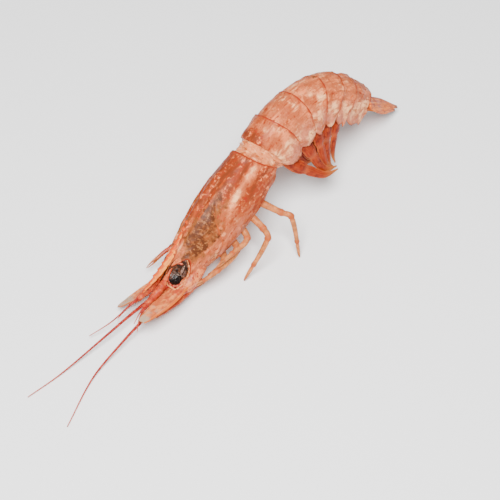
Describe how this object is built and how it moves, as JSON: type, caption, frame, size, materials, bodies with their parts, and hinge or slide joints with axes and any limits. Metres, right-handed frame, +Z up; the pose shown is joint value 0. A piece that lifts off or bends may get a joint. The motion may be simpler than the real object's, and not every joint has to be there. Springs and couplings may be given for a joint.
{
  "type": "raw shrimp",
  "caption": "Whole raw shrimp in its shell, head on, arched belly down on its legs and tucked tail, with feelers and swimmerets.",
  "frame": {"origin": "on the surface it stands on, under the middle of its bounding box, feelers included", "axes": "+Z up as it stands, -X towards the head and feelers, +X towards the tail fan, -Y on the side that is its left"},
  "size_m": [0.2138, 0.0452, 0.0539],
  "materials": {
    "shell": "wet, slightly translucent shell, pale pinkish beige mottled with orange red",
    "soft": "pale translucent membrane and thin scales",
    "eye": "dark wet eye",
    "fan": "wet orange-red tail fan",
    "swimmeret": "red-orange blades with tan tips",
    "leg": "pale tan jointed legs",
    "feeler": "red ringed feelers"
  },
  "bodies": {
    "root": {"carapace": "shell", "face": "soft", "neck": "soft", "eye_left": "eye", "eye_right": "eye", "abdomen_1": "shell", "abdomen_2": "shell", "abdomen_3": "shell", "abdomen_4": "shell", "abdomen_5": "shell", "abdomen_6": "shell", "telson": "fan", "uropod_inner_left": "fan", "uropod_inner_right": "fan", "uropod_outer_left": "fan", "uropod_outer_right": "fan", "pleopod_1_left": "swimmeret", "pleopod_2_left": "swimmeret", "pleopod_3_left": "swimmeret", "pleopod_4_left": "swimmeret", "pleopod_5_left": "swimmeret", "pleopod_1_right": "swimmeret", "pleopod_2_right": "swimmeret", "pleopod_3_right": "swimmeret", "pleopod_4_right": "swimmeret", "pleopod_5_right": "swimmeret", "leg_1_left": "leg", "leg_2_left": "leg", "leg_3_left": "leg", "leg_4_left": "leg", "leg_5_left": "leg", "leg_1_right": "leg", "leg_2_right": "leg", "leg_3_right": "leg", "leg_4_right": "leg", "leg_5_right": "leg", "maxilliped_left": "leg", "scale_left": "soft", "antennule_left": "feeler", "antenna_left": "feeler", "maxilliped_right": "leg", "scale_right": "soft", "antennule_right": "feeler", "antenna_right": "feeler"}
  },
  "joints": []
}
